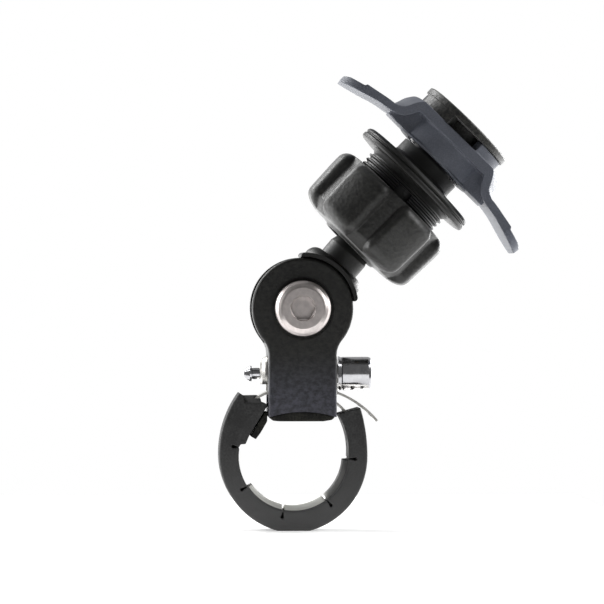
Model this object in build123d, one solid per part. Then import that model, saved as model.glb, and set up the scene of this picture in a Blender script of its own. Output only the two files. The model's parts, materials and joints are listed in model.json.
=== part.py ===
from build123d import *
import os
from math import atan2, cos, degrees, radians, sin, sqrt

# Quarter-turn phone mount for a bicycle handlebar.  Millimetres.
# X runs along the bicycle's length, Y along the handlebar, Z up.  The origin is on the bar's axis.

# ---- driving dimensions ------------------------------------------------------------------------
bar_radius = 11.1          # 22.2 mm handlebar
strap_z = 2.28             # strap ring's centre above the bar axis
strap_outer = 18.4         # strap ring outer radius
strap_inner = 13.65        # strap ring inner radius at its two edges
strap_land = 12.4          # inner radius of the raised gripping lands
strap_width = 14.0         # along the bar
slit_angles = (170.4, 212.4, 259.1, 307.4, 357.7)
slit_depth = 2.6           # from the strap's front and back faces
land_arc = (212.6, 357.5)   # where the gripping lands start and end

band_radius = 17.1         # mid-surface of the steel band's loop
band_thick = 0.6
band_width = 7.6
band_top_z = 18.88         # mid-height of the band's upper layer in the tunnel
slot_pitch = 2.9           # perforations that the worm engages

pivot_x = 2.15             # arm pivot
pivot_z = 39.18
ear_radius = 12.6
ear_outer_y = 9.8
ear_inner_y = 6.2
hub_half = 5.6
hub_radius = 9.0
foot_radius = 13.9
foot_half_angle = 42.0
foot_blend = 2.8            # radius between the arm's foot and its shaft
stem_half = 8.46           # bracket stem's half width, across the bar
fillet_radius = 6.0
arch_radius = 26.0
arch_top_z = 13.45

worm_z = 22.8
worm_radius = 3.55
housing_outer = 4.45
housing_inner = 3.8
screw_head_radius = 4.2

arm_angle = 49.6           # arm above the horizontal
arm_length = 34.1          # pivot to ball centre
arm_radius = 5.43
neck_radius = 4.4
ball_radius = 7.5

head_angle = 45.3          # head axis above the horizontal
liner_outer = 8.4
ring_outer = 9.8
socket_bore = 9.86
thread_radius = 12.35
thread_root = 11.7
thread_pitch = 1.25
flange_radius = 17.1
head_neck = 8.7
core_radius = 6.2
knob_lobe = 17.35
knob_groove = 15.2
knob_low = -13.8
knob_high = 2.25
lip_bore = 7.3

lever_collar = 10.85
lever_low = 15.25
lever_plate_low = 21.2
lever_plate_high = 23.85
lever_half_width = 11.6
cap_radius = 13.0
cap_wall = 12.8
cap_core = 8.0
cap_disc_low = 26.5
cap_high = 28.4

slack = 0.05               # working clearance between pieces that slide or turn

# ---- frames ------------------------------------------------------------------------------------
# SIDE looks at the object from -Y: local x is +X, local y is +Z, local z comes towards the viewer.
SIDE = Plane((0, 0, 0), x_dir=(1, 0, 0), z_dir=(0, -1, 0))
STRAP = Plane((0, 0, strap_z), x_dir=(1, 0, 0), z_dir=(0, -1, 0))
PIVOT = Plane((pivot_x, 0, pivot_z), x_dir=(1, 0, 0), z_dir=(0, -1, 0))
arm_dir = Vector(cos(radians(arm_angle)), 0, sin(radians(arm_angle)))
head_dir = Vector(cos(radians(head_angle)), 0, sin(radians(head_angle)))
ball_centre = Vector(pivot_x, 0, pivot_z) + arm_dir * arm_length
ARM = Plane((pivot_x, 0, pivot_z), x_dir=(arm_dir.Z, 0, -arm_dir.X), z_dir=arm_dir)
HEAD = Plane(ball_centre, x_dir=(head_dir.Z, 0, -head_dir.X), z_dir=head_dir)
WORM = Plane((0, 0, worm_z), x_dir=(0, 1, 0), z_dir=(1, 0, 0))


# ---- helpers -----------------------------------------------------------------------------------
def turned(points):
    """Solid of revolution about local Z from an outline of (radius, height) points."""
    outline = Plane.XZ * make_face(Polyline(*points, close=True))
    return revolve(outline, Axis.Z)


def ring(inner, outer, low, high):
    """Plain tube about local Z."""
    return turned([(inner, low), (outer, low), (outer, high), (inner, high)])


def disc(radius, low, high):
    """Plain cylinder about local Z."""
    return Pos(0, 0, (low + high) / 2) * Cylinder(radius, high - low)


def sector(inner, outer, low, high, start, end):
    """Part of a tube about local Z between two angles, counter-clockwise."""
    section = Plane.XZ * Pos((inner + outer) / 2, (low + high) / 2) * Rectangle(outer - inner, high - low)
    return Rot(0, 0, start) * revolve(section, Axis.Z, revolution_arc=end - start)


def slab(profile, half):
    """Sketch in a local XY plane, thickened evenly both ways."""
    return extrude(profile, amount=half, both=True)


def block(x0, x1, y0, y1, z0, z1):
    """Box between two corners."""
    return Pos((x0 + x1) / 2, (y0 + y1) / 2, (z0 + z1) / 2) * Box(x1 - x0, y1 - y0, z1 - z0)


def hexagon(across_flats, low, high):
    """Hexagonal prism about local Z."""
    return Pos(0, 0, low) * extrude(RegularPolygon(across_flats / sqrt(3), 6), amount=high - low)


def polar(radius, angle):
    """Point in a local XY plane."""
    return (radius * cos(radians(angle)), radius * sin(radians(angle)))


def save(name, solid, frame=None):
    """Write one node."""
    placed = frame * solid if frame else solid
    placed.label = name
    export_step(placed, f"parts/{name}.step")


# ---- clamp: bracket, pads and strap ------------------------------------------------------------
def clevis_bracket():
    """Cast bracket: two ears on a stem with an arched foot and a tunnel for the worm drive."""
    stem_low = 12.2
    stem = Pos(pivot_x, (stem_low + pivot_z) / 2) * Rectangle(2 * stem_half, pivot_z - stem_low)
    outline = stem + Pos(pivot_x, pivot_z) * Circle(ear_radius)
    corners = [v for v in outline.vertices() if stem_low + 5 < v.Y < pivot_z - 5]
    outline = fillet(corners, fillet_radius)
    outline -= Pos(pivot_x, arch_top_z - arch_radius) * Circle(arch_radius)
    body = SIDE * slab(outline, ear_outer_y)
    rims = [e for e in body.edges() if abs(abs(e.center().Y) - ear_outer_y) < 0.01 and e.center().Z > 14]
    body = fillet(rims, 0.8)
    gap = disc(foot_radius + 0.6, -ear_inner_y, ear_inner_y)
    wedge = make_face(Polyline((0, 0), polar(40, -136.5), polar(40, -43.5), close=True))
    gap -= slab(wedge, 20)
    gap += disc(hub_radius + 0.5, -ear_inner_y, ear_inner_y)
    body -= PIVOT * gap
    body -= PIVOT * disc(4.1, -20, 20)
    body -= PIVOT * disc(7.75, ear_outer_y - 1.0, 20)
    body -= PIVOT * hexagon(13.2, -20, -ear_outer_y + 2.4)
    tunnel_half = housing_outer + 0.1
    body -= WORM * disc(tunnel_half, -20, 30)
    body -= block(-20, 30, -tunnel_half, tunnel_half, 14.5, worm_z)
    return body


def saddle_pad():
    """Rubber pad that fills the arched foot and lies flat on the bar."""
    low = bar_radius
    outline = make_face(
        Polyline(
            (-6.2, 12.25),
            (-5.3, low + 0.15),
            (-3.4, low),
            (7.3, low),
            (9.4, low + 0.35),
            (10.3, 12.25),
            (9.2, 14.5),
            (-5.0, 14.5),
            close=True,
        )
    )
    outline &= Pos(pivot_x, arch_top_z - arch_radius) * Circle(arch_radius)
    return slab(outline, 9.3)


def strap_tongue():
    """Rubber tongue that closes the gap between the pad and the strap's thick end."""
    outline = make_face(
        Polyline(
            (-6.5, 11.2),
            (-6.5, 8.75),
            (-8.1, 5.95),
            (-9.35, 4.25),
            (-10.75, 5.05),
            (-7.2, 10.9),
            close=True,
        )
    )
    return slab(outline, 5.0)


def strap_outline():
    """Front outline of the rubber strap, open at the top where the bracket sits."""
    low = -18.5
    rest = 4.0
    low_right = ThreePointArc((strap_outer, 0), (15.45, -10.15), (rest, low))
    flat = Line((rest, low), (-rest, low))
    low_left = ThreePointArc((-rest, low), (-15.3, -10.3), (-18.5, 0))
    outer_left = ThreePointArc((-18.5, 0), (-17.4, 8.0), (-13.5, 15.85))
    end_left = Polyline((-13.5, 15.85), (-12.4, 15.1), (-8.3, 15.2), (-8.0, 13.5), (-6.6, 13.0))
    inner_left = Polyline((-6.6, 13.0), (-6.6, 12.5), (-11.0, 5.3), (-11.95, 3.1), (-13.3, 3.05))
    inner_low = ThreePointArc((-13.3, 3.05), (0, -strap_inner), (strap_inner, 0))
    inner_right = ThreePointArc((strap_inner, 0), (12.85, 6.6), (11.05, 10.55))
    end_right = Polyline((11.05, 10.55), (16.65, 12.1))
    outer_right = ThreePointArc((16.65, 12.1), (18.05, 5.5), (strap_outer, 0))
    outer = [low_right, flat, low_left, outer_left]
    return make_face(outer + [end_left, inner_left, inner_low, inner_right, end_right, outer_right])


def rubber_strap():
    """Thick rubber strap with gripping lands, flex slits and a channel for the steel band."""
    half = strap_width / 2
    body = slab(strap_outline(), half)
    rims = [e for e in body.edges() if abs(abs(e.center().Z) - half) < 0.01 and e.length > 7]
    body = fillet(rims, 0.5)
    section = Plane.XZ * make_face(
        Polyline(
            (strap_inner + 0.4, -half + 0.7),
            (strap_inner, -half + 0.7),
            (strap_land, -3.6),
            (strap_land, 3.6),
            (strap_inner, half - 0.7),
            (strap_inner + 0.4, half - 0.7),
            close=True,
        )
    )
    lands = Rot(0, 0, land_arc[0]) * revolve(section, Axis.Z, revolution_arc=land_arc[1] - land_arc[0])
    lands -= Pos(0, -strap_z, 0) * disc(bar_radius, -20, 20)
    body += lands
    for angle in slit_angles:
        cut = block(11, strap_inner + 0.1, -0.3, 0.3, -20, 20)
        corners = [(strap_inner, -0.12), (15.3, -0.3), (15.3, 0.3), (strap_inner, 0.12)]
        notch = make_face(Polyline(*corners, close=True))
        notch += Pos(15.3, 0) * Circle(0.42)
        cut += extrude(Plane((0, 0, half - slit_depth)) * notch, amount=10)
        cut += extrude(Plane((0, 0, -half - 10 + slit_depth)) * notch, amount=10)
        body -= Rot(0, 0, angle) * cut
    body -= band_solid(band_thick + 0.1, band_width + 0.2)
    for side in (-1, 1):
        body -= end_recess(side)
    return body


def end_recess(side):
    """Sloped face beside the strap's thick end, and the drop of its top, on the front or the back."""
    half = strap_width / 2
    corners = [(14.7, half + 1), (14.7, half), (10.0, half - 1.5), (6.0, half - 2.0), (6.0, half + 1)]
    slope = make_face(Polyline(*corners, close=True))
    cut = Rot(0, 0, 104) * revolve(Plane.XZ * slope, Axis.Z, revolution_arc=66)
    corners = [(half + 1, 16.5), (half + 1, 13.0), (half - 5.5, 15.4), (half - 5.5, 16.5)]
    drop = make_face(Polyline(*corners, close=True))
    end = Plane((-4.35, 0, 0), x_dir=(0, 0, 1), z_dir=(-1, 0, 0))
    cut += extrude(end * drop, amount=8)
    return cut if side > 0 else mirror(cut, about=Plane.XY)


# ---- worm-drive band ---------------------------------------------------------------------------
def band_path():
    """Mid-line of the steel band in the STRAP frame, from its free end round to its fixed end."""
    top = band_top_z - strap_z
    small = 12.0
    small_y = top - small
    small_x = -sqrt((band_radius - small) ** 2 - small_y ** 2)
    join_left = degrees(atan2(small_y, small_x))
    under = band_top_z - 1.56 - strap_z
    hook = 10.0
    hook_y = under - hook
    hook_x = sqrt((band_radius - hook) ** 2 - hook_y ** 2)
    join_right = degrees(atan2(hook_y, hook_x))
    bend = 9.0
    bend_end = 18.0
    bend_x = 7.2
    tail = 24.0
    tail_end = 50.0
    p_bend = (bend_x + bend * sin(radians(bend_end)), top - bend * (1 - cos(radians(bend_end))))
    centre = (p_bend[0] - tail * sin(radians(bend_end)), p_bend[1] - tail * cos(radians(bend_end)))
    free_end = CenterArc(centre, tail, 90 - tail_end, tail_end - bend_end)
    near_end = CenterArc((bend_x, top - bend), bend, 90 - bend_end, bend_end)
    flat = Line((bend_x, top), (small_x, top))
    shoulder = CenterArc((small_x, small_y), small, 90, join_left - 90)
    loop = CenterArc((0, 0), band_radius, join_left, 360 + join_right - join_left)
    hooked = CenterArc((hook_x, hook_y), hook, join_right, 90 - join_right)
    fixed_end = Line((hook_x, under), (0.5, under))
    return [free_end, near_end, flat, shoulder, loop, hooked, fixed_end]


def band_solid(thick, width):
    """Whole band as one strip of the given thickness and width, in the STRAP frame."""
    body = None
    for edge in band_path():
        piece = edge_strip(edge, thick, width)
        body = piece if body is None else body + piece
    return body


def edge_strip(edge, thick, width):
    """Strip over a line or an arc, built from its two offset curves."""
    start = edge @ 0
    end = edge @ 1
    middle = edge @ 0.5
    normal_start = Vector(-(edge % 0).Y, (edge % 0).X)
    normal_end = Vector(-(edge % 1).Y, (edge % 1).X)
    normal_middle = Vector(-(edge % 0.5).Y, (edge % 0.5).X)
    h = thick / 2
    if edge.geom_type == GeomType.LINE:
        side_a = Line(start + normal_start * h, end + normal_end * h)
        side_b = Line(end - normal_end * h, start - normal_start * h)
    else:
        side_a = ThreePointArc(start + normal_start * h, middle + normal_middle * h, end + normal_end * h)
        side_b = ThreePointArc(end - normal_end * h, middle - normal_middle * h, start - normal_start * h)
    cap_a = Line(side_a @ 1, side_b @ 0)
    cap_b = Line(side_b @ 1, side_a @ 0)
    return slab(make_face([side_a, cap_a, side_b, cap_b]), width / 2)


def clamp_band():
    """Stainless band: loop, fixed end under the housing, and perforated free end."""
    body = band_solid(band_thick, band_width)
    path = band_path()
    tail = path[0]
    count = int(tail.length / slot_pitch)
    for i in range(count):
        t = (i + 0.75) * slot_pitch / tail.length
        place = tail.position_at(t)
        slope = tail.tangent_at(t)
        angle = degrees(atan2(slope.Y, slope.X))
        body -= Pos(place.X, place.Y, 0) * Rot(0, 0, angle) * block(-0.6, 0.6, -1, 1, -2.7, 2.7)
    for i in range(3):
        body -= Pos(-1.0 + i * slot_pitch, band_top_z - strap_z, 0) * block(-0.6, 0.6, -1, 1, -2.7, 2.7)
    return body


def worm_housing():
    """Folded steel housing: dome over the worm, closed at one end, open to the screw head."""
    left = -6.5
    right = 11.0
    base_low = band_top_z - 1.26
    base_high = band_top_z - 0.66
    tube = disc(housing_outer, left, right) - disc(housing_inner, left - 1, right + 1)
    body = WORM * tube
    body -= block(left - 1, right + 1, -6, 6, 10, worm_z)
    for side in (-1, 1):
        y0, y1 = sorted((side * (housing_inner + 0.02), side * housing_outer))
        body += block(left, right, y0, y1, base_low, worm_z)
    body += block(-1.0, 9.2, -housing_outer, housing_outer, base_low, base_high)
    outer = [(1.6, -1.8), (2.6, -1.75), (3.6, -1.2), (4.2, -0.5), (housing_outer, 0.0)]
    inner = [(housing_inner, 0.0), (3.55, -0.35), (3.1, -0.75), (2.3, -1.15), (1.6, -1.2)]
    end = WORM * Pos(0, 0, left) * turned(outer + inner)
    return body + (end - block(-20, 0, -6, 6, 0, worm_z - 2.6))


def worm_screw():
    """Worm with a plain barrel head for a hex key and a thin tail shaft."""
    head_left = 12.1
    head_right = 19.8
    outline = [
        (0, -10.1),
        (1.45, -10.1),
        (1.45, -7.9),
        (1.5, -7.5),
        (2.4, -7.4),
        (2.4, 11.4),
        (3.5, 11.4),
        (housing_outer, 11.25),
        (screw_head_radius - 0.1, head_left),
        (screw_head_radius, head_left + 0.3),
        (screw_head_radius, head_right - 0.9),
        (screw_head_radius - 0.25, head_right - 0.35),
        (screw_head_radius - 0.8, head_right),
        (0, head_right),
    ]
    body = turned(outline)
    for i in range(9):
        x = -5.6 + i * 1.75
        body += turned([(2.3, x - 0.7), (worm_radius, x - 0.28), (worm_radius, x + 0.28), (2.3, x + 0.7)])
    body -= hexagon(4.0, head_right - 4.0, head_right + 1)
    return body


def worm_tip():
    """Barbed end pressed on the worm's tail shaft, which keeps the screw in its housing."""
    return turned([(0, -12.2), (0.95, -12.2), (1.95, -10.7), (1.95, -10.25), (1.45, -10.1), (0, -10.1)])


# ---- pivot -------------------------------------------------------------------------------------
def pivot_bolt():
    """Button-head bolt with a hex socket, through both ears."""
    seat = ear_outer_y - 1.0
    outline = [
        (0, -12.6),
        (3.6, -12.6),
        (4.0, -12.2),
        (4.0, seat),
        (6.95, seat),
        (6.95, seat + 2.5),
        (6.8, seat + 2.8),
        (6.2, seat + 3.45),
        (5.6, seat + 3.9),
        (5.35, seat + 4.05),
        (5.1, seat + 4.1),
        (3.2, seat + 4.1),
        (2.95, seat + 3.8),
        (0, seat + 3.8),
    ]
    return turned(outline) - hexagon(5.3, seat + 1.4, seat + 5)


def pivot_nut():
    """Hex nut sunk in the rear ear."""
    low = -ear_outer_y - 2.0
    body = hexagon(13.0, low, -ear_outer_y + 2.35)
    body &= turned([(0, low), (6.5, low), (7.6, low + 0.7), (7.6, 0), (0, 0)])
    return body - disc(4.02, -20, 0)


def friction_washers():
    """Two thin washers between the ears and the arm's hub."""
    front = ring(4.1, 8.6, hub_half + slack, ear_inner_y - slack)
    rear = ring(4.1, 8.6, -ear_inner_y + slack, -hub_half - slack)
    return Compound(children=[front, rear])


def hub_bush():
    """Plastic bush pressed in the arm's hub."""
    return ring(4.0 + slack, 5.25, -hub_half, hub_half)


# ---- arm and ball ------------------------------------------------------------------------------
def arm():
    """Round arm with a flared foot that hugs the ears, a hub between them and a ball stud."""
    edge = foot_half_angle
    wide = arm_radius + foot_blend
    shoulder = sqrt((foot_radius + foot_blend) ** 2 - wide ** 2)
    flare = make_face(
        [
            Line((0, 5), (wide, 5)),
            Line((wide, 5), (wide, shoulder - foot_blend)),
            RadiusArc((wide, shoulder - foot_blend), (arm_radius, shoulder), -foot_blend),
            Line((arm_radius, shoulder), (0, shoulder)),
            Line((0, shoulder), (0, 5)),
        ]
    )
    foot = ARM * revolve(Plane.XZ * flare, Axis.Z)
    foot += PIVOT * disc(foot_radius, -ear_outer_y, ear_outer_y)
    foot &= PIVOT * sector(0, 25, -ear_outer_y, ear_outer_y, arm_angle - edge, arm_angle + edge)
    tips = []
    for turn in (-edge, edge):
        x, y = polar(foot_radius, arm_angle + turn)
        tips.append(PIVOT.from_local_coords(Vector(x, y, 0)))
    ends = [e for e in foot.edges() if min((e.center() - t).length for t in tips) < 0.3 and e.length > 15]
    foot = fillet(ends, 0.9)
    for side in (-1, 1):
        low, high = sorted((side * (hub_half + slack), side * 12))
        foot -= PIVOT * disc(ear_radius + 0.3, low, high)
    shaft = [
        (0, 6),
        (arm_radius, 6),
        (arm_radius, arm_length - 16.0),
        (neck_radius, arm_length - 13.0),
        (neck_radius, arm_length - 6.05),
        (2.5, arm_length - 6.05),
        (2.5, arm_length + 0.6),
        (2.1, arm_length + 1.0),
        (0, arm_length + 1.0),
    ]
    body = foot + ARM * turned(shaft) + PIVOT * disc(hub_radius, -hub_half, hub_half)
    return body - PIVOT * disc(5.25, -20, 20)


def ball():
    """Steel ball screwed on the arm's stud."""
    body = Sphere(ball_radius) & disc(20, -6.0, 7.1)
    body -= disc(2.5, -20, 1.05)
    body -= hexagon(3.0, 4.0, 20)
    return body


def ball_liner():
    """Split nylon liner round the ball."""
    body = Sphere(liner_outer) - Sphere(ball_radius + slack)
    body &= disc(20, -5.5, 5.5)
    return body - block(0, 20, -0.5, 0.5, -20, 20)


def pressure_ring(low, high):
    """Nylon ring with a spherical seat inside and a plain outside."""
    return ring(0.1, ring_outer, low, high) - Sphere(liner_outer + slack) - disc(6.3, -20, 20)


# ---- head --------------------------------------------------------------------------------------
def socket_body():
    """Threaded, slotted collet with a flange, a neck for the lever and a core for the cap."""
    low = -7.5
    outline = [
        (socket_bore, low),
        (thread_root, low),
        (thread_root, 6.3),
        (12.9, 7.45),
        (flange_radius - 0.5, 7.45),
        (flange_radius - 0.15, 7.6),
        (flange_radius, 7.95),
        (flange_radius, 8.55),
        (flange_radius - 0.15, 8.8),
        (flange_radius - 0.4, 8.9),
        (flange_radius - 0.4, 9.1),
        (flange_radius - 0.1, 9.25),
        (flange_radius - 0.1, 9.6),
        (flange_radius - 0.35, 10.05),
        (flange_radius - 0.85, 10.35),
        (13.4, 10.6),
        (head_neck + 0.9, 10.7),
        (head_neck + 0.25, 10.95),
        (head_neck, 11.6),
        (head_neck, 14.6),
        (core_radius, 14.6),
        (core_radius, lever_plate_high - slack),
        (2.1, lever_plate_high - slack),
        (2.1, 12.0),
        (0.6, 11.4),
        (0.6, 8.4),
        (5.0, 8.4),
        (socket_bore, 7.2),
    ]
    body = turned(outline)
    count = int((6.0 - low) / thread_pitch)
    for i in range(count):
        z = 5.55 - i * thread_pitch
        body += turned(
            [
                (thread_root - 0.1, z - 0.5),
                (thread_radius, z - 0.12),
                (thread_radius, z + 0.12),
                (thread_root - 0.1, z + 0.5),
            ]
        )
    slot = block(-20, 20, -2.2, 2.2, -20, 5.0)
    slot += Rot(0, 0, 90) * slot
    slot &= disc(13.0, -20, 20) - disc(socket_bore - 0.5, -20, 20)
    return body - slot


def groove_outline(grow):
    """Outline of one knob groove, widening at both ends, grown evenly by a margin."""
    half = 2.25 + grow
    top = 0.4 + grow
    low = -16.5 - grow
    return make_face(
        [
            Line((-half - 1.2, top), (half + 1.2, top)),
            RadiusArc((half + 1.2, top), (half, -1.1), 1.6),
            Line((half, -1.1), (half, -13.2)),
            RadiusArc((half, -13.2), (half + 2.4, low), 3.6),
            Line((half + 2.4, low), (-half - 2.4, low)),
            RadiusArc((-half - 2.4, low), (-half, -13.2), 3.6),
            Line((-half, -13.2), (-half, -1.1)),
            RadiusArc((-half, -1.1), (-half - 1.2, top), 1.6),
        ]
    )


def groove_cutter():
    """Straight groove with two widening steps, so that the lobes' edges are rounded off."""
    cutter = None
    for grow, radius, lean, depth in ((0, 0, 0, 25), (0, 15.9, 38, 0.6), (0.45, 16.45, 64, 1.6)):
        plane = Plane((0, -radius, knob_high), x_dir=(1, 0, 0), z_dir=(0, -1, 0))
        step = extrude(plane * groove_outline(grow), amount=depth, taper=-lean)
        cutter = step if cutter is None else cutter + step
    return cutter - turned(
        [
            (0, knob_high + 3),
            (knob_groove, knob_high + 3),
            (knob_groove, knob_low + 2.8),
            (knob_groove - 2.4, knob_low),
            (knob_groove - 2.4, knob_low - 6),
            (0, knob_low - 6),
        ]
    )


def knob_shell():
    """Six-lobed plastic knob."""
    bore = thread_radius + 1.6
    outline = make_face(
        Polyline(
            (bore, knob_high),
            (knob_lobe, knob_high),
            (knob_lobe, knob_high - 5.0),
            (knob_lobe - 0.5, knob_low),
            (7.8, knob_low),
            (7.8, knob_low - 0.8),
            (lip_bore, knob_low - 0.8),
            (lip_bore, -11.2),
            (bore, -11.2),
            close=True,
        )
    )
    top_corner = outline.vertices().filter_by(lambda v: v.X > 17 and v.Y > 2)
    outline = fillet(top_corner, 2.7)
    low_corner = outline.vertices().filter_by(lambda v: v.X > 16 and v.Y < -13)
    outline = fillet(low_corner, 3.4)
    body = revolve(Plane.XZ * outline, Axis.Z)
    cutter = groove_cutter()
    for i in range(6):
        body -= Rot(0, 0, 60 * i) * cutter
    return body


def knob_insert():
    """Threaded metal insert moulded in the knob."""
    body = ring(thread_radius + 0.08, thread_radius + 1.6, -9.6, knob_high - 0.4)
    for i in range(6):
        body -= Rot(0, 0, 60 * i + 30) * block(13.5, 15, -0.8, 0.8, -9.6, -8.4)
    return body


def thrust_ring():
    """Brass ring that carries the knob's pull to the lower pressure ring."""
    return turned([(7.9, -11.15), (13.4, -11.15), (13.4, -9.7), (9.7, -9.7), (9.7, -6.6), (7.9, -6.6)])


def lever_section(bulge):
    """Half of the lever's outline at one depth: plate, bend and wing; bulge moves the bend outwards."""
    top = lever_plate_high
    under = lever_plate_low
    outer_bend = Spline(
        (11.2 + bulge, top),
        (12.7 + bulge, 22.9),
        (13.7 + bulge, 21.2),
        (14.8 + 0.8 * bulge, 19.3),
        (16.6 + 0.3 * bulge, 18.3),
        (20.6, 17.65),
        tangents=((1, 0), (1, -0.2)),
    )
    inner_bend = Spline(
        (20.4, 15.6),
        (15.3 + 0.3 * bulge, 16.6),
        (13.4 + 0.7 * bulge, 17.5),
        (12.2 + bulge, 19.1),
        (10.8 + bulge, under),
        tangents=((-1, 0.2), (-1, 0.9)),
    )
    wing = Polyline(
        (20.6, 17.65),
        (25.2, 16.75),
        (25.4, 16.15),
        (29.3, 15.2),
        (30.7, 14.4),
        (30.4, 12.65),
        (20.4, 15.6),
    )
    plate = Polyline((10.8 + bulge, under), (0, under), (0, top), (11.2 + bulge, top))
    return make_face([outer_bend, wing, inner_bend, plate])


def lever_shell():
    """Half of the lever's plate, bend and wing, with the bend bowed out between its two edges."""
    sections = []
    for depth, bulge in ((-lever_half_width, 0), (0, 2.4), (lever_half_width, 0)):
        place = Plane((0, depth, 0), x_dir=(1, 0, 0), z_dir=(0, -1, 0))
        sections.append(place * lever_section(bulge))
    return loft(sections)


def release_lever():
    """Spring-loaded lever: sliding collar, plate with two locking lugs and two finger wings."""
    body = lever_shell()
    body += Rot(0, 0, 180) * lever_shell()
    tips = fillet(Rectangle(61.6, 2 * lever_half_width + 0.2).vertices(), 7.0)
    body &= extrude(tips, amount=40)
    body += ring(5.5, lever_collar, lever_low, lever_plate_high - 0.2)
    body += ring(9.0, lever_collar + 0.45, lever_low, lever_low + 0.5)
    web = make_face(Polyline((9.0, 15.6), (16.4, 15.6), (15.2, 20.0), (12.5, 21.6), (9.0, 21.6), close=True))
    for side in (0, 180):
        body += Rot(0, 0, side) * (SIDE * slab(web, 6.0))
    body -= disc(core_radius + slack, -5, 60)
    body -= disc(head_neck + slack, -5, lever_plate_low)
    for start in (-64, 116):
        body += sector(9.6, cap_wall - 0.1, lever_plate_low, cap_disc_low - 0.15, start, start + 53)
    return body


def lever_spring():
    """Compression spring that pushes the lever up against the cap."""
    wire = 0.4
    radius = (core_radius + head_neck) / 2
    low = 14.6 + wire + 0.02
    high = lever_plate_low - wire - 0.02
    coil = Helix(pitch=(high - low) / 4, height=high - low, radius=radius, center=(0, 0, low))
    section = Plane(coil @ 0, z_dir=coil % 0) * Circle(wire)
    return sweep(section, path=coil)


def head_cap():
    """Quarter-turn cap: rim disc, core and two wall sectors, open between them."""
    body = turned(
        [
            (0, lever_plate_high),
            (cap_core, lever_plate_high),
            (cap_core, cap_disc_low),
            (cap_radius - 0.1, cap_disc_low),
            (cap_radius, cap_disc_low + 0.1),
            (cap_radius, cap_high - 0.45),
            (cap_radius - 0.15, cap_high - 0.25),
            (cap_radius - 0.5, cap_high - 0.1),
            (10.0, cap_high),
            (0, cap_high),
        ]
    )
    for start in (-164, 16):
        body += sector(cap_core - 0.1, cap_wall, lever_plate_high, cap_disc_low + 0.1, start, start + 54)
    body -= disc(2.15, -5, 60)
    body -= turned([(0, 26.2), (2.15, 26.2), (4.1, cap_high + 0.01), (4.1, 40), (0, 40)])
    return body


def cap_screw():
    """Countersunk screw that holds the cap on the socket's core."""
    body = turned([(0, 13.0), (1.6, 13.0), (2.0, 13.4), (2.0, 26.25), (3.9, 28.2), (0, 28.2)])
    return body - hexagon(2.5, 26.6, 40)


# ---- build -------------------------------------------------------------------------------------
def main():
    os.makedirs("parts", exist_ok=True)
    save("clevis_bracket", clevis_bracket())
    save("saddle_pad", saddle_pad(), SIDE)
    save("strap_tongue", strap_tongue(), STRAP)
    save("rubber_strap", rubber_strap(), STRAP)
    save("clamp_band", clamp_band(), STRAP)
    save("worm_housing", worm_housing())
    save("worm_screw", worm_screw(), WORM)
    save("worm_tip", worm_tip(), WORM)
    save("pivot_bolt", pivot_bolt(), PIVOT)
    save("pivot_nut", pivot_nut(), PIVOT)
    save("friction_washers", friction_washers(), PIVOT)
    save("hub_bush", hub_bush(), PIVOT)
    save("arm", arm())
    save("ball", ball(), ARM * Pos(0, 0, arm_length))
    save("ball_liner", ball_liner(), HEAD)
    save("pressure_ring_lower", pressure_ring(-6.5, -0.3), HEAD)
    save("pressure_ring_upper", pressure_ring(0.3, 6.5), HEAD)
    save("socket_body", socket_body(), HEAD)
    save("knob_shell", knob_shell(), HEAD)
    save("knob_insert", knob_insert(), HEAD)
    save("thrust_ring", thrust_ring(), HEAD)
    save("release_lever", release_lever(), HEAD)
    save("lever_spring", lever_spring(), HEAD)
    save("head_cap", head_cap(), HEAD)
    save("cap_screw", cap_screw(), HEAD)


main()
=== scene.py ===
import json
from math import cos, pi, radians, sin

import bpy
from mathutils import Matrix, Vector


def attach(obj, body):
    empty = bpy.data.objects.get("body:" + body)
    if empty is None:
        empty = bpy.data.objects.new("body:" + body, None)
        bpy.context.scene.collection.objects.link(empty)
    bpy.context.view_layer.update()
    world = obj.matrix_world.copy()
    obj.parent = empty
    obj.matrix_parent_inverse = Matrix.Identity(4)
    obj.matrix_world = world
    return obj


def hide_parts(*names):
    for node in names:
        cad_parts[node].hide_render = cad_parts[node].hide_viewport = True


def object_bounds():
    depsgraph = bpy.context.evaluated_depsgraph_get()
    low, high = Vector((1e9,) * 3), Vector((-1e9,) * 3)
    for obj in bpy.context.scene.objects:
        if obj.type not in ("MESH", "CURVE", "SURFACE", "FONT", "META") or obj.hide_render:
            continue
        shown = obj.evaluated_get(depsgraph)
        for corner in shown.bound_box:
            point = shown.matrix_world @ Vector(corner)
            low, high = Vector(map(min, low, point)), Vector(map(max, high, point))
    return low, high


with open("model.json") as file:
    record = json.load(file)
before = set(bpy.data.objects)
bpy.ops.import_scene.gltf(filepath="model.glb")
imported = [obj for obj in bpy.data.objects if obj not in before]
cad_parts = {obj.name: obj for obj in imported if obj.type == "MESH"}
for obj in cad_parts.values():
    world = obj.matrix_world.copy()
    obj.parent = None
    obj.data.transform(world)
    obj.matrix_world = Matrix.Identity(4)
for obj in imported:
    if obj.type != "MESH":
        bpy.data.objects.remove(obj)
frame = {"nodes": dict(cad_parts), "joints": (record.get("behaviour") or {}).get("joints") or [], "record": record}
cad_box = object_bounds()

MM = 0.001

# ---- view and light ----------------------------------------------------------------------------
VIEW_AIM = Vector((2.35 * MM, 0, 40.7 * MM))
VIEW_DISTANCE = 1300 * MM
VIEW_WIDTH = 151 * MM
VIEW_AZIMUTH = radians(-2.5)
VIEW_ELEVATION = radians(0.3)
VIEW_FAR = 10.0            # metres, the furthest that the camera sees
SENSOR = 36.0              # millimetres, the camera's film width

FLOOR_HALF = 90 * MM       # half width across the view
FLOOR_FRONT = -0.4
FLOOR_REAR = 0.2
FLOOR_GAP = 0.02 * MM      # below the strap
FLOOR_GLOW = 0.32

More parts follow.
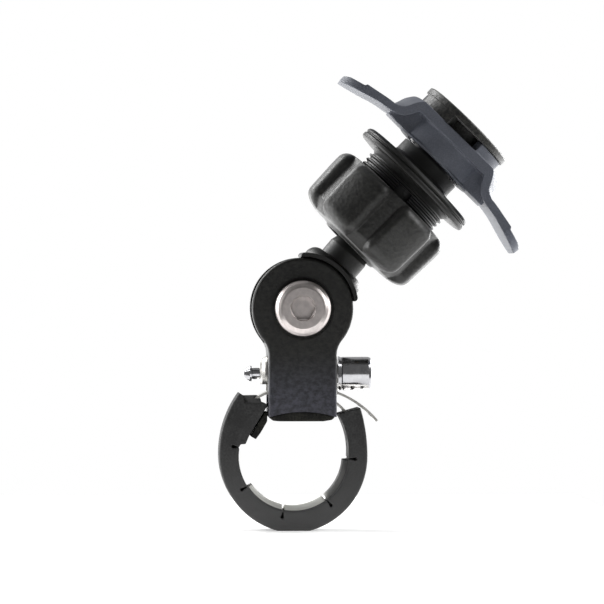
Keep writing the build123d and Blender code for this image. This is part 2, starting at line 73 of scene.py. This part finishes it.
WORLD_FRONT = 0.13         # light from in front of the object
WORLD_BEHIND = 2.6         # what is added behind it, near the horizon and below
WORLD_ABOVE = 0.12         # share of that which is left high up
WORLD_DEPTH = (-0.35, 0.45)   # from where to where that light grows, towards the back
WORLD_HEIGHT = (-0.05, 0.25)  # from where to where it fades, upwards

LIGHTS = [
    # name, place in metres, width, height, watts
    ("light_left", (-0.8, 0.1, 0.3), 0.4, 0.6, 4.0),
    ("light_right", (0.7, -0.05, 0.4), 0.4, 0.6, 3.6),
    ("rim_left", (-0.5, 0.5, 0.6), 0.4, 0.5, 5.0),
    ("rim_right", (0.55, 0.65, 0.1), 0.4, 0.4, 5.0),
]

# ---- strap ring, for the lands' painted highlight and painted shade ----------------------------
RING_CENTRE_Z = 2.28 * MM  # above the handlebar's axis
HIGHLIGHT_RADIUS = 13.45 * MM   # painted highlight on the strap inside this radius
HIGHLIGHT_EDGE = 0.1 * MM
HIGHLIGHT_FROM = -1 * MM        # height, from the ring's centre, where the painted highlight starts
HIGHLIGHT_FULL = -6 * MM
SHADE_FROM = 7 * MM         # painted shade keeps the right-hand side dark
SHADE_FULL = 9 * MM


# ---- material helper ---------------------------------------------------------------------------
def tone(red, green, blue):
    """Display colour, 0 to 255, as the linear colour that shader sockets take."""
    shares = [c / 255 for c in (red, green, blue)]
    linear = [((c + 0.055) / 1.055) ** 2.4 if c > 10 / 255 else c / 12.92 for c in shares]
    return (*linear, 1.0)


class Finish:
    """One material, built from nodes that follow the object's own coordinates."""

    def __init__(self, name, **sockets):
        self.material = bpy.data.materials.new(name)
        self.material.use_nodes = True
        self.tree = self.material.node_tree
        self.shader = self.tree.nodes["Principled BSDF"]
        self.place = self.tree.nodes.new("ShaderNodeTexCoord").outputs["Object"]
        for socket, value in sockets.items():
            self.shader.inputs[socket.replace("_", " ")].default_value = value

    def node(self, kind, inputs=(), **settings):
        """Add a node; inputs are pairs of socket and value or output."""
        made = self.tree.nodes.new(kind)
        for key, value in settings.items():
            setattr(made, key, value)
        for socket, value in inputs:
            if isinstance(value, bpy.types.NodeSocket):
                self.tree.links.new(value, made.inputs[socket])
            else:
                made.inputs[socket].default_value = value
        return made

    def stretched(self, x=1.0, y=1.0, z=1.0):
        """Object coordinates scaled along each axis, for grain that runs one way."""
        inputs = [("Vector", self.place), ("Scale", (x, y, z))]
        return self.node("ShaderNodeMapping", inputs).outputs["Vector"]

    def noise(self, size, detail=2.0, rough=0.5, where=None):
        """Noise whose features are about size metres across."""
        inputs = [("Vector", where or self.place), ("Scale", 1 / size)]
        inputs += [("Detail", detail), ("Roughness", rough)]
        return self.node("ShaderNodeTexNoise", inputs).outputs["Fac"]

    def cells(self, size, where=None):
        """Distance to the nearest of many scattered points, about size metres apart."""
        inputs = [("Vector", where or self.place), ("Scale", 1 / size)]
        return self.node("ShaderNodeTexVoronoi", inputs).outputs["Distance"]

    def spread(self, value, low, high, to_low=0.0, to_high=1.0):
        """Map a value from one range to another, with soft ends."""
        pairs = [("Value", value), ("From Min", low), ("From Max", high)]
        pairs += [("To Min", to_low), ("To Max", to_high)]
        return self.node("ShaderNodeMapRange", pairs, interpolation_type="SMOOTHSTEP").outputs["Result"]

    def height(self, low, high):
        """0 at one height of the object and 1 at another; either may be the upper one."""
        split = self.node("ShaderNodeSeparateXYZ", [("Vector", self.place)])
        return self.spread(split.outputs["Z"], low, high)

    def blend(self, factor, first, second):
        """Colour between two colours: 6 and 7 are the node's colour inputs, 2 is its output."""
        inputs = [("Factor", factor), (6, first), (7, second)]
        return self.node("ShaderNodeMix", inputs, data_type="RGBA").outputs[2]

    def maths(self, first, second, operation="ADD"):
        """Sum of two values, or what another operation makes of them."""
        return self.node("ShaderNodeMath", [(0, first), (1, second)], operation=operation).outputs["Value"]

    def bump(self, height, depth, strength=1.0):
        """Relief of the given depth in metres, on top of any relief set before."""
        inputs = [("Height", height), ("Distance", depth), ("Strength", strength)]
        before = self.shader.inputs["Normal"]
        if before.is_linked:
            inputs.append(("Normal", before.links[0].from_socket))
        made = self.node("ShaderNodeBump", inputs)
        self.tree.links.new(made.outputs["Normal"], self.shader.inputs["Normal"])

    def colour(self, output):
        self.tree.links.new(output, self.shader.inputs["Base Color"])

    def rough(self, output):
        self.tree.links.new(output, self.shader.inputs["Roughness"])


# ---- materials ---------------------------------------------------------------------------------
def cast_black():
    """Bead-blasted, anodised casting: fine mottled grain, with a painted reflection that makes it lighter and
    bluer towards the foot.
    """
    m = Finish("cast_black", Specular_IOR_Level=0.45)
    grain = m.noise(0.42 * MM, 3, 0.65, m.stretched(0.6, 1, 1))
    patches = m.noise(1.2 * MM, 2)
    # painted reflection: both mottle tones turn lighter and bluer lower down, fully so below 14 mm
    dark = m.blend(m.height(14 * MM, 30 * MM), tone(42, 43, 49), tone(8, 8, 7))
    light = m.blend(m.height(14 * MM, 30 * MM), tone(74, 74, 84), tone(36, 36, 33))
    mottle = m.spread(m.maths(grain, patches), 0.7, 1.3)
    m.colour(m.blend(mottle, dark, light))
    m.rough(m.spread(grain, 0.3, 0.7, 0.4, 0.6))
    m.bump(grain, 0.05 * MM, 1.0)
    return m.material


def anodised_black():
    """Turned aluminium, satin black."""
    m = Finish("anodised_black", Specular_IOR_Level=0.5)
    grain = m.noise(0.3 * MM, 2, 0.5)
    m.colour(m.blend(grain, tone(14, 14, 12), tone(28, 28, 26)))
    m.rough(m.spread(grain, 0.3, 0.7, 0.4, 0.55))
    m.bump(grain, 0.012 * MM, 0.5)
    return m.material


def lever_grey():
    """Hard-anodised blue-grey alloy."""
    m = Finish("lever_grey", Specular_IOR_Level=0.45)
    grain = m.noise(0.35 * MM, 3, 0.55)
    patches = m.noise(6 * MM, 1)
    base = m.blend(patches, tone(92, 96, 108), tone(110, 114, 124))
    m.colour(m.blend(m.spread(grain, 0.35, 0.75, 0, 0.4), base, tone(136, 139, 146)))
    m.rough(m.spread(grain, 0.3, 0.7, 0.5, 0.62))
    m.bump(grain, 0.005 * MM, 0.6)
    return m.material


def moulded_black(name, dark, light, size):
    """Nylon with a fine spark-eroded skin."""
    m = Finish(name, Specular_IOR_Level=0.7, Sheen_Weight=0.3, Sheen_Roughness=0.4)
    grain = m.noise(size, 3, 0.6)
    pits = m.cells(size * 1.4)
    m.colour(m.blend(m.spread(grain, 0.35, 0.7), dark, light))
    m.rough(m.spread(grain, 0.3, 0.7, 0.4, 0.56))
    m.bump(m.maths(grain, pits), 0.05 * MM, 1.0)
    return m.material


def rubber(name, dark, light, size, depth):
    """Matt rubber with a moulded skin and faint dusty patches."""
    m = Finish(name, Specular_IOR_Level=0.3)
    grain = m.noise(size, 3, 0.6)
    patches = m.noise(4 * MM, 3)
    m.colour(m.blend(m.spread(m.maths(grain, patches, "MULTIPLY"), 0.12, 0.42), dark, light))
    m.rough(m.spread(patches, 0.3, 0.7, 0.62, 0.8))
    m.bump(grain, depth, 1.0)
    return m


def strap_rubber():
    """Strap rubber, with painted light from below that makes it lighter towards the foot; its lands carry a
    painted highlight, with painted shade on their right-hand side.
    """
    m = rubber("rubber_strap", tone(46, 46, 46), tone(66, 66, 66), 0.5 * MM, 0.045 * MM)
    body = m.shader.inputs["Base Color"].links[0].from_socket
    # painted light from below: the strap's colour turns lighter towards its foot
    body = m.blend(m.height(12 * MM, -16 * MM), body, tone(84, 84, 84))
    split = m.node("ShaderNodeSeparateXYZ", [("Vector", m.place)])
    rise = m.maths(split.outputs["Z"], RING_CENTRE_Z, "SUBTRACT")
    flat = m.node("ShaderNodeCombineXYZ", [("X", split.outputs["X"]), ("Y", rise)])
    length = m.node("ShaderNodeVectorMath", [(0, flat.outputs["Vector"])], operation="LENGTH")
    radius = length.outputs["Value"]
    # painted highlight on the lands inside the ring, on their lower part; painted shade keeps the right-hand side
    # dark
    inside = m.spread(radius, HIGHLIGHT_RADIUS - HIGHLIGHT_EDGE, HIGHLIGHT_RADIUS + HIGHLIGHT_EDGE, 1, 0)
    under = m.spread(rise, HIGHLIGHT_FULL, HIGHLIGHT_FROM, 1, 0)
    right_shade = m.spread(split.outputs["X"], SHADE_FROM, SHADE_FULL, 1, 0.08)
    highlight_mask = m.maths(m.maths(inside, under, "MULTIPLY"), right_shade, "MULTIPLY")
    # the painted highlight's colour
    m.colour(m.blend(highlight_mask, body, tone(228, 228, 222)))
    return m.material


def brushed(name, colour, rough, stretch, relief=0.0015):
    """Metal with grain that runs one way; relief is in millimetres, and 0 leaves it out."""
    m = Finish(name, Metallic=1.0)
    grain = m.noise(0.12 * MM, 3, 0.6, m.stretched(*stretch))
    smudge = m.noise(1.6 * MM, 2)
    darker = [c * 0.93 for c in colour]
    m.colour(m.blend(m.spread(smudge, 0.3, 0.7), tone(*darker), tone(*colour)))
    m.rough(m.spread(grain, 0.3, 0.7, rough * 0.92, rough * 1.08))
    if relief:
        m.bump(grain, relief * MM, 0.5)
    return m.material


def nylon_white():
    """Natural nylon, slightly translucent."""
    m = Finish("nylon_white", Specular_IOR_Level=0.5, Subsurface_Weight=0.1, Roughness=0.5)
    m.shader.inputs["Subsurface Radius"].default_value = (0.5 * MM, 0.5 * MM, 0.4 * MM)
    grain = m.noise(0.5 * MM, 2)
    m.colour(m.blend(grain, tone(214, 211, 202), tone(230, 228, 220)))
    m.bump(grain, 0.01 * MM, 0.5)
    return m.material


MATERIALS = {
    "cast_black": cast_black(),
    "anodised_black": anodised_black(),
    "lever_grey": lever_grey(),
    "black_plastic": moulded_black("black_plastic", tone(9, 9, 7), tone(36, 36, 32), 0.75 * MM),
    "cap_plastic": moulded_black("cap_plastic", tone(12, 12, 10), tone(64, 64, 59), 0.6 * MM),
    "rubber_strap": strap_rubber(),
    "rubber_pad": rubber("rubber_pad", tone(6, 6, 4), tone(46, 46, 40), 0.4 * MM, 0.08 * MM).material,
    "stainless": brushed("stainless", (205, 203, 198), 0.3, (0.1, 1, 0.1)),
    "chrome_steel": brushed("chrome_steel", (210, 210, 213), 0.17, (0.15, 1, 1), 0.0006),
    "bolt_steel": brushed("bolt_steel", (230, 222, 219), 0.32, (0.3, 1, 0.3), 0),
    "spring_steel": brushed("spring_steel", (190, 190, 192), 0.25, (1, 1, 0.2)),
    "brass": brushed("brass", (222, 190, 130), 0.25, (1, 1, 0.2)),
    "insert_alloy": brushed("insert_alloy", (196, 196, 198), 0.3, (1, 1, 0.2)),
    "nylon_white": nylon_white(),
    "nylon_black": moulded_black("nylon_black", tone(8, 8, 8), tone(14, 14, 14), 0.6 * MM),
}


def dress_cad_nodes():
    """Give each CAD node the material of its slot."""
    for part in frame["record"]["subparts"]:
        node = frame["nodes"][part["node"]]
        for material_slot in node.material_slots:
            material_slot.material = MATERIALS[part["material_slot"]]


dress_cad_nodes()


# ---- softened copies of CAD pieces -------------------------------------------------------------
def add_piece(name, mesh, body, slot, *nodes):
    """Link a piece, let it ride on a body, and let it stand for its CAD nodes."""
    piece = bpy.data.objects.new(name, mesh)
    bpy.context.scene.collection.objects.link(piece)
    mesh.shade_smooth()
    if not mesh.materials:
        mesh.materials.append(MATERIALS[slot])
    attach(piece, body)
    if nodes:
        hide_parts(*nodes)
    return piece


def softened(node, name, body, slot, voxel, rounds):
    """Copy of a CAD node, evenly meshed and with its edges rounded.  It is remeshed in millimetres."""
    mesh = frame["nodes"][node].data.copy()
    mesh.transform(Matrix.Scale(1 / MM, 4))
    mesh.materials.clear()
    work = bpy.data.objects.new("work", mesh)
    bpy.context.scene.collection.objects.link(work)
    even = work.modifiers.new("even", "REMESH")
    even.mode = "VOXEL"
    even.voxel_size = voxel
    soft = work.modifiers.new("soft", "SMOOTH")
    soft.factor = 0.5
    soft.iterations = rounds
    graph = bpy.context.evaluated_depsgraph_get()
    result = bpy.data.meshes.new_from_object(work.evaluated_get(graph))
    bpy.data.objects.remove(work)
    bpy.data.meshes.remove(mesh)
    result.transform(Matrix.Scale(MM, 4))
    return add_piece(name, result, body, slot, node)


# ---- knob --------------------------------------------------------------------------------------
KNOB_HIGH = 2.25           # millimetres along the head's axis from the ball's centre
KNOB_LOW = -13.8
KNOB_LOBES = 6
LOBE_RADIUS = 17.35
LOBE_TAPER = 0.045         # how fast the lobes draw in below their upper third
GROOVE_RADIUS = 15.2
GROOVE_HALF = 2.2
GROOVE_FOOT = 2.8          # height over which the groove's floor draws in at the lower end
GROOVE_DRAW = 2.4          # how far it draws in
LOBE_CROWN = 0.12          # how much a lobe's middle stands above its sides
LOBE_PLAIN = 5.0           # height of a lobe's upper part, which doesn't draw in
LOBE_ROUND_SIDE = 2.45     # how far the rounding reaches in from a lobe's side, top and foot
LOBE_ROUND_TOP = 2.9
LOBE_ROUND_LOW = 3.6
LOBE_SQUARENESS = 2.2      # a higher power keeps the lobe full for longer before its edge falls off
LOBE_FALL = 0.7
GROOVE_CURVE = 1.3         # power of the groove's draw towards the lower end
KNOB_COLUMNS = 72          # mesh columns in one lobe
KNOB_ROWS = 84


def joint_frame(name):
    """Matrix of a joint's axis: local z along it, local y along the handlebar."""
    joint = next(j for j in frame["joints"] if j["name"] == name)
    axis = Vector(joint["axis"]).normalized()
    across = Vector((axis.z, 0, -axis.x))
    turn = Matrix((across, Vector((0, 1, 0)), axis)).transposed()
    return Matrix.Translation(Vector(joint["pos_m"])) @ turn.to_4x4()


def knob_radius(angle, height):
    """Outer radius of the knob, in millimetres: six rounded lobes on a plain core."""
    foot = max(0.0, KNOB_LOW + GROOVE_FOOT - height) / GROOVE_FOOT
    floor = GROOVE_RADIUS - GROOVE_DRAW * foot ** GROOVE_CURVE
    lobe = LOBE_RADIUS - LOBE_TAPER * max(0.0, KNOB_HIGH - LOBE_PLAIN - height)
    pitch = 2 * pi / KNOB_LOBES
    from_centre = abs((angle + pi / 2) % pitch - pitch / 2)
    half = pitch / 2 * LOBE_RADIUS - GROOVE_HALF
    side = max(0.0, (from_centre * LOBE_RADIUS - half) / LOBE_ROUND_SIDE + 1)
    top = max(0.0, (height - KNOB_HIGH) / LOBE_ROUND_TOP + 1)
    low = max(0.0, (KNOB_LOW - height) / LOBE_ROUND_LOW + 1)
    edge = min(1.0, (side ** 2 + max(top, low) ** 2) ** 0.5)
    crown = LOBE_CROWN * (1 - (from_centre / (pitch / 2)) ** 2)
    return floor + (lobe + crown - floor) * (1 - edge ** LOBE_SQUARENESS) ** LOBE_FALL


def knob_mesh():
    """Knob with lobes, a top face, a lip round the arm, and the bore for its insert."""
    around = KNOB_COLUMNS * KNOB_LOBES
    heights = [KNOB_HIGH + (KNOB_LOW - KNOB_HIGH) * i / KNOB_ROWS for i in range(KNOB_ROWS + 1)]
    # radius and height of the plain rings: lower face, lip round the arm, bore, insert seat, top
    plain = [
        (11.5, -13.85),
        (9.4, -13.9),
        (8.3, -14.0),
        (7.95, -14.3),
        (7.75, -14.55),
        (7.5, -14.6),
        (7.35, -14.45),
        (7.3, -14.0),
        (7.3, -11.2),
        (13.95, -11.2),
        (13.95, 2.05),
        (14.1, 2.2),
        (14.3, 2.25),
        (15.0, 2.25),
    ]
    rings = []
    for height in heights:
        rings.append([(knob_radius(2 * pi * i / around, height), height) for i in range(around)])
    for radius, height in plain:
        rings.append([(radius, height)] * around)
    place = joint_frame("knob_turn")
    points = []
    for ring in rings:
        for i, (radius, height) in enumerate(ring):
            turn = 2 * pi * i / around
            points.append(place @ Vector((radius * cos(turn) * MM, radius * sin(turn) * MM, height * MM)))
    faces = []
    for r in range(len(rings)):
        after = (r + 1) % len(rings)
        for i in range(around):
            j = (i + 1) % around
            faces.append((r * around + i, after * around + i, after * around + j, r * around + j))
    mesh = bpy.data.meshes.new("knob")
    mesh.from_pydata(points, [], faces)
    mesh.validate()
    return mesh


# ---- gripping lands ----------------------------------------------------------------------------
SLITS = (212.4, 259.1, 307.4, 357.7)   # degrees round the strap ring, from +X towards +Z
LAND_GAP = 1.4             # degrees left open at each slit
LAND_TOP = 12.4            # millimetres from the ring's centre
LAND_ROOT = 13.75
LAND_HALF_TOP = 3.6        # half widths along the handlebar
LAND_HALF_ROOT = 6.3
LAND_END = 0.12            # how much lower a land stands at its two ends
LAND_STEPS = 40            # mesh steps along one land


def lands_mesh():
    """Raised gripping lands inside the strap, in rubber that no bar has pressed yet."""
    section = [
        (LAND_ROOT, -LAND_HALF_ROOT),
        (LAND_ROOT - 0.35, -LAND_HALF_ROOT + 0.1),
        (LAND_TOP + 0.15, -LAND_HALF_TOP - 0.2),
        (LAND_TOP, -LAND_HALF_TOP + 0.3),
        (LAND_TOP, LAND_HALF_TOP - 0.3),
        (LAND_TOP + 0.15, LAND_HALF_TOP + 0.2),
        (LAND_ROOT - 0.35, LAND_HALF_ROOT - 0.1),
        (LAND_ROOT, LAND_HALF_ROOT),
    ]
    points = []
    faces = []
    for start, end in zip(SLITS, SLITS[1:]):
        first = len(points)
        for i in range(LAND_STEPS + 1):
            turn = radians(start + LAND_GAP + (end - start - 2 * LAND_GAP) * i / LAND_STEPS)
            lower = LAND_END if i in (0, LAND_STEPS) else 0.0
            for radius, across in section:
                out = (radius + lower) * MM
                points.append(Vector((out * cos(turn), across * MM, RING_CENTRE_Z + out * sin(turn))))
        sides = len(section)
        for i in range(LAND_STEPS):
            for k in range(sides):
                a = first + i * sides + k
                b = first + i * sides + (k + 1) % sides
                faces.append((a, b, b + sides, a + sides))
        faces.append(tuple(first + k for k in reversed(range(sides))))
        faces.append(tuple(first + LAND_STEPS * sides + k for k in range(sides)))
    mesh = bpy.data.meshes.new("lands")
    mesh.from_pydata(points, [], faces)
    mesh.validate()
    return mesh


# ---- pieces ------------------------------------------------------------------------------------
add_piece("grip_lands", lands_mesh(), "clamp", "rubber_strap")
add_piece("knob_lobed", knob_mesh(), "knob", "black_plastic", "knob_shell")
softened("rubber_strap", "strap_rubber", "clamp", "rubber_strap", 0.17, 3)
softened("saddle_pad", "pad_rubber", "clamp", "rubber_pad", 0.2, 4)
softened("strap_tongue", "tongue_rubber", "clamp", "rubber_pad", 0.2, 4)
softened("release_lever", "lever_plate", "lever", "lever_grey", 0.19, 3)


# ---- stage -------------------------------------------------------------------------------------
def floor():
    """Pale floor under the strap, narrow so that it doesn't light the knob from below."""
    mesh = bpy.data.meshes.new("floor")
    low = cad_box[0][2] - FLOOR_GAP
    corners = [
        (-FLOOR_HALF, FLOOR_FRONT, low),
        (FLOOR_HALF, FLOOR_FRONT, low),
        (FLOOR_HALF, FLOOR_REAR, low),
        (-FLOOR_HALF, FLOOR_REAR, low),
    ]
    mesh.from_pydata(corners, [], [(0, 1, 2, 3)])
    piece = bpy.data.objects.new("floor", mesh)
    bpy.context.scene.collection.objects.link(piece)
    m = Finish("floor_white", Roughness=0.9, Specular_IOR_Level=0.1)
    m.colour(m.blend(m.noise(40 * MM), tone(250, 250, 250), tone(254, 254, 254)))
    m.shader.inputs["Emission Color"].default_value = (1, 1, 1, 1)
    m.shader.inputs["Emission Strength"].default_value = FLOOR_GLOW
    mesh.materials.append(m.material)


def studio():
    """White backdrop for the camera; its light comes from behind, low down, and fades upwards."""
    world = bpy.data.worlds.new("studio")
    bpy.context.scene.world = world
    world.use_nodes = True
    tree = world.node_tree
    back = tree.nodes["Background"]
    out = tree.nodes["World Output"]

    def add(kind, **settings):
        made = tree.nodes.new(kind)
        for key, value in settings.items():
            setattr(made, key, value)
        return made

    def ramp(socket, low, high, to_low, to_high):
        made = add("ShaderNodeMapRange", interpolation_type="SMOOTHSTEP")
        tree.links.new(socket, made.inputs["Value"])
        made.inputs["From Min"].default_value = low
        made.inputs["From Max"].default_value = high
        made.inputs["To Min"].default_value = to_low
        made.inputs["To Max"].default_value = to_high
        return made.outputs["Result"]

    split = add("ShaderNodeSeparateXYZ")
    tree.links.new(add("ShaderNodeTexCoord").outputs["Generated"], split.inputs["Vector"])
    behind = ramp(split.outputs["Y"], *WORLD_DEPTH, 0.0, WORLD_BEHIND)
    low = ramp(split.outputs["Z"], *WORLD_HEIGHT, 1.0, WORLD_ABOVE)
    glow = add("ShaderNodeMath", operation="MULTIPLY_ADD")
    tree.links.new(behind, glow.inputs[0])
    tree.links.new(low, glow.inputs[1])
    glow.inputs[2].default_value = WORLD_FRONT
    tree.links.new(glow.outputs["Value"], back.inputs["Strength"])
    back.inputs["Color"].default_value = (1, 1, 1, 1)
    plain = add("ShaderNodeBackground")
    plain.inputs["Color"].default_value = (1, 1, 1, 1)
    mix = add("ShaderNodeMixShader")
    tree.links.new(add("ShaderNodeLightPath").outputs["Is Camera Ray"], mix.inputs["Fac"])
    tree.links.new(back.outputs["Background"], mix.inputs[1])
    tree.links.new(plain.outputs["Background"], mix.inputs[2])
    tree.links.new(mix.outputs["Shader"], out.inputs["Surface"])


def softbox(name, place, width, height, power):
    """Rectangular soft light that faces the object."""
    light = bpy.data.lights.new(name, "AREA")
    light.shape = "RECTANGLE"
    light.size = width
    light.size_y = height
    light.energy = power
    lamp = bpy.data.objects.new(name, light)
    lamp.location = place
    lamp.rotation_euler = (VIEW_AIM - Vector(place)).to_track_quat("-Z", "Y").to_euler()
    bpy.context.scene.collection.objects.link(lamp)


def camera():
    """Long lens at the photograph's viewing angle."""
    data = bpy.data.cameras.new("camera")
    data.sensor_width = SENSOR
    data.lens = SENSOR * VIEW_DISTANCE / VIEW_WIDTH
    data.clip_end = VIEW_FAR
    eye = bpy.data.objects.new("camera", data)
    flat = cos(VIEW_ELEVATION)
    away = Vector((sin(VIEW_AZIMUTH) * flat, -cos(VIEW_AZIMUTH) * flat, sin(VIEW_ELEVATION)))
    eye.location = VIEW_AIM + away * VIEW_DISTANCE
    eye.rotation_euler = (-away).to_track_quat("-Z", "Y").to_euler()
    bpy.context.scene.collection.objects.link(eye)
    bpy.context.scene.camera = eye


floor()
studio()
for light in LIGHTS:
    softbox(*light)
camera()
bpy.context.scene.view_settings.view_transform = "Standard"
